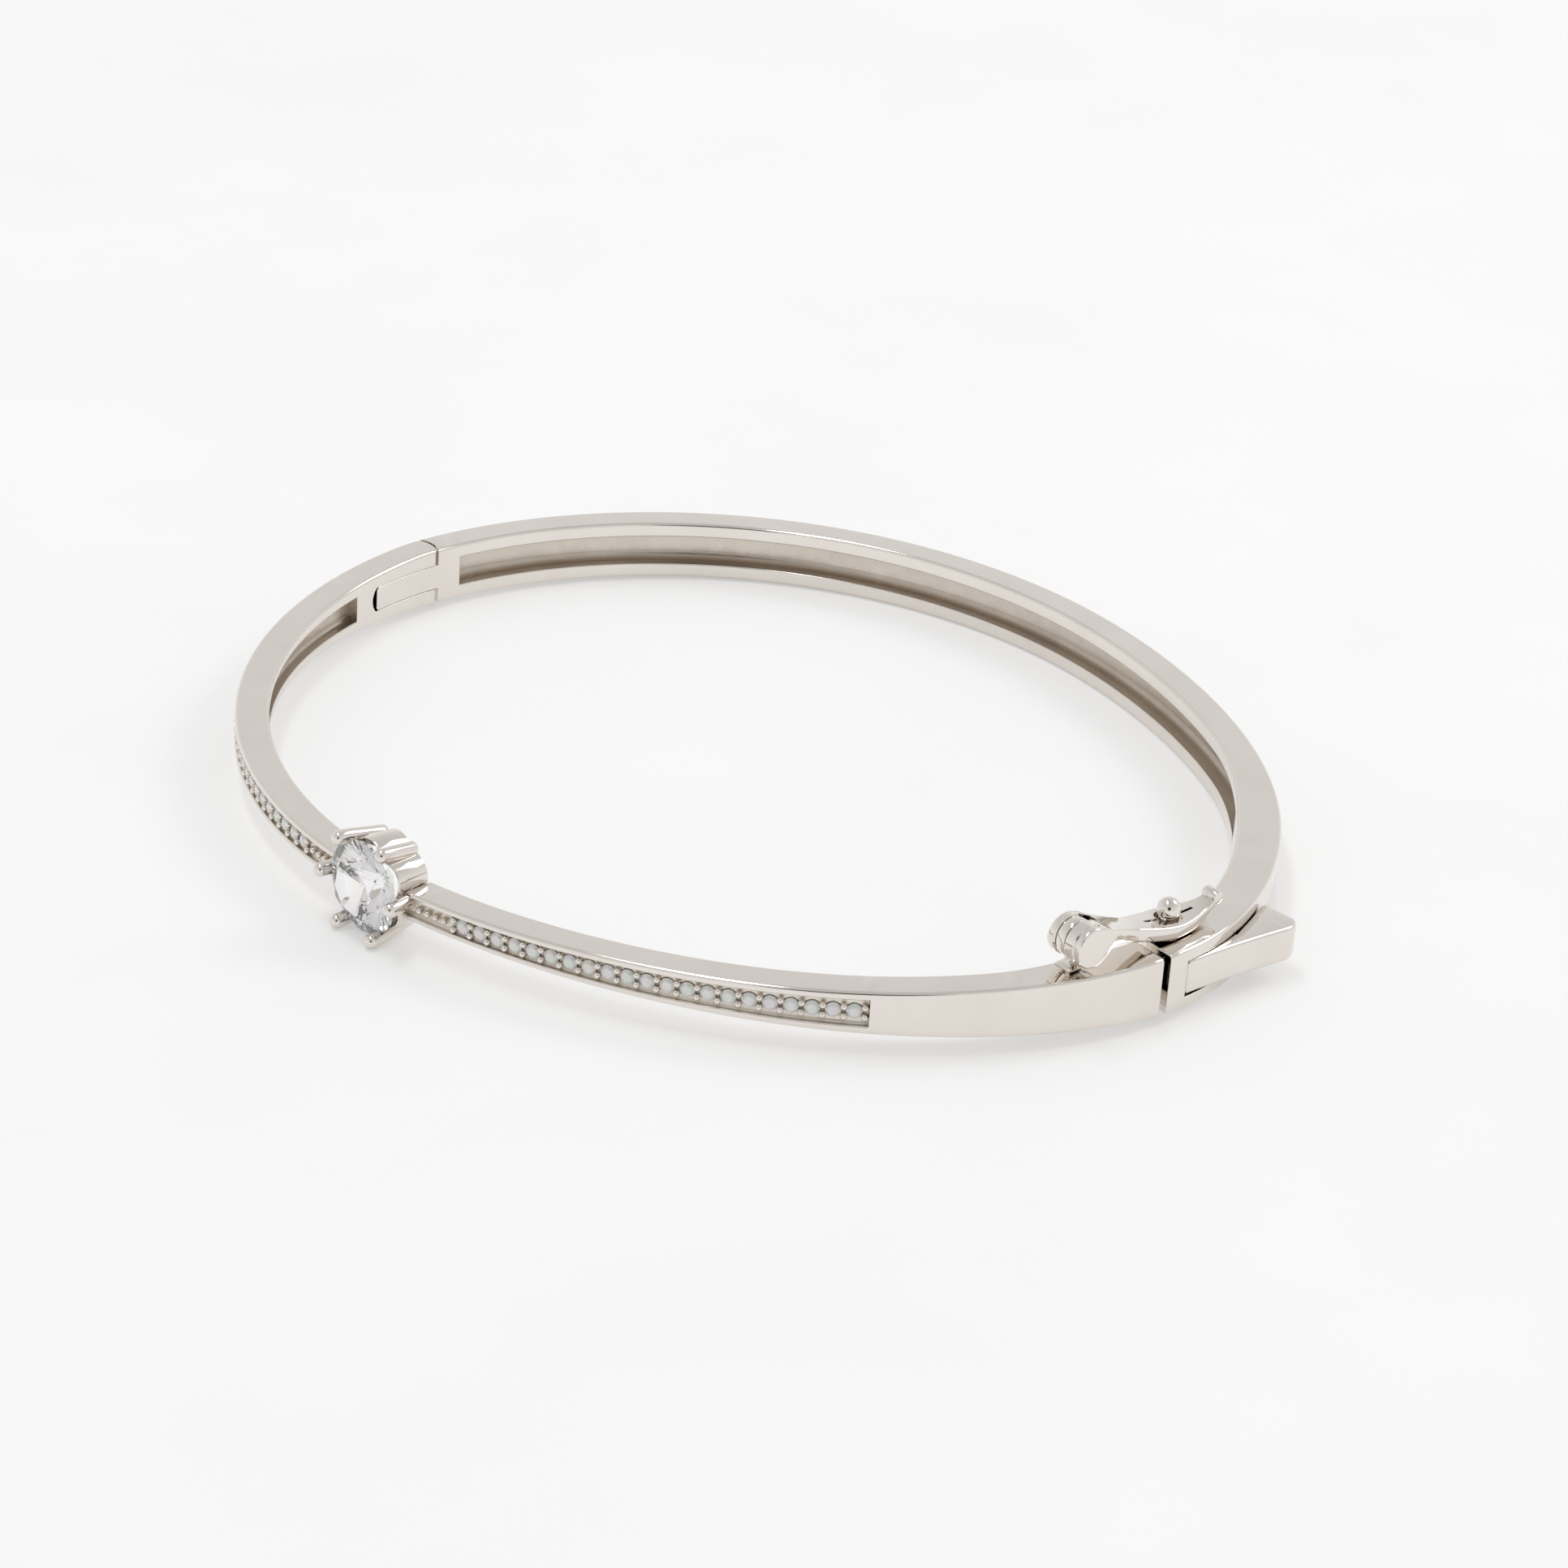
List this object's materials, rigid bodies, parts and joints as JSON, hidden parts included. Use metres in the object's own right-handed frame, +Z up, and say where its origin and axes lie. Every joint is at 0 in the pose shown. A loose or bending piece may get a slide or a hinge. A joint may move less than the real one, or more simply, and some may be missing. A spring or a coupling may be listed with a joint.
{
  "type": "bangle bracelet",
  "caption": "Hinged oval bangle with round centre stone in a prong setting, pave arms, lever clasp and swing-over safety catch.",
  "frame": {"origin": "middle of the bounding box's underside, the plane that the lowest part of the setting touches", "axes": "+Z up through the wrist opening with the bangle lying flat; -Y towards the centre stone; +X towards the clasp, -X towards the hinge"},
  "size_m": [0.0634, 0.055, 0.0068],
  "materials": {
    "silver": "polished rhodium-plated silver",
    "centre_crystal": "faceted clear cubic zirconia",
    "pave_crystal": "faceted clear cubic zirconia"
  },
  "bodies": {
    "front_half": {"left_arm": "silver", "right_arm": "silver", "stone_setting": "silver", "centre_stone": "centre_crystal", "clasp_tongue": "silver", "hinge_pin": "silver", "safety_bracket": "silver", "safety_pin": "silver", "pave_left_01": "pave_crystal", "pave_left_02": "pave_crystal", "pave_left_03": "pave_crystal", "pave_left_04": "pave_crystal", "pave_left_05": "pave_crystal", "pave_left_06": "pave_crystal", "pave_left_07": "pave_crystal", "pave_left_08": "pave_crystal", "pave_left_09": "pave_crystal", "pave_left_10": "pave_crystal", "pave_left_11": "pave_crystal", "pave_left_12": "pave_crystal", "pave_left_13": "pave_crystal", "pave_left_14": "pave_crystal", "pave_left_15": "pave_crystal", "pave_left_16": "pave_crystal", "pave_left_17": "pave_crystal", "pave_left_18": "pave_crystal", "pave_left_19": "pave_crystal", "pave_left_20": "pave_crystal", "pave_left_21": "pave_crystal", "pave_right_01": "pave_crystal", "pave_right_02": "pave_crystal", "pave_right_03": "pave_crystal", "pave_right_04": "pave_crystal", "pave_right_05": "pave_crystal", "pave_right_06": "pave_crystal", "pave_right_07": "pave_crystal", "pave_right_08": "pave_crystal", "pave_right_09": "pave_crystal", "pave_right_10": "pave_crystal", "pave_right_11": "pave_crystal", "pave_right_12": "pave_crystal", "pave_right_13": "pave_crystal", "pave_right_14": "pave_crystal", "pave_right_15": "pave_crystal", "pave_right_16": "pave_crystal", "pave_right_17": "pave_crystal", "pave_right_18": "pave_crystal", "pave_right_19": "pave_crystal", "pave_right_20": "pave_crystal", "pave_right_21": "pave_crystal"},
    "back_half": {"back_band": "silver", "lever_pin": "silver", "lever_spring": "silver", "safety_ball": "silver"},
    "lever": {"thumb_lever": "silver"},
    "safety": {"safety_loop": "silver"}
  },
  "joints": [
    {"name": "bangle_hinge", "type": "hinge", "parent": "front_half", "child": "back_half", "pos_m": [-0.03078, 0.00041, 0.00261], "axis": [0, 0, 1], "range_deg": [0, 60]},
    {"name": "lever_lift", "type": "hinge", "parent": "back_half", "child": "lever", "pos_m": [0.03037, 0.00113, 0.00261], "axis": [0, 0, -1], "range_deg": [0, 20], "stiffness_Nm_per_rad": 0.001, "springref_deg": -5.73, "deforming": ["lever_spring"]},
    {"name": "safety_swing", "type": "hinge", "parent": "front_half", "child": "safety", "pos_m": [0.02819, -0.00499, 0.00566], "axis": [0.9962, -0.0872, 0], "range_deg": [0, 135]}
  ]
}
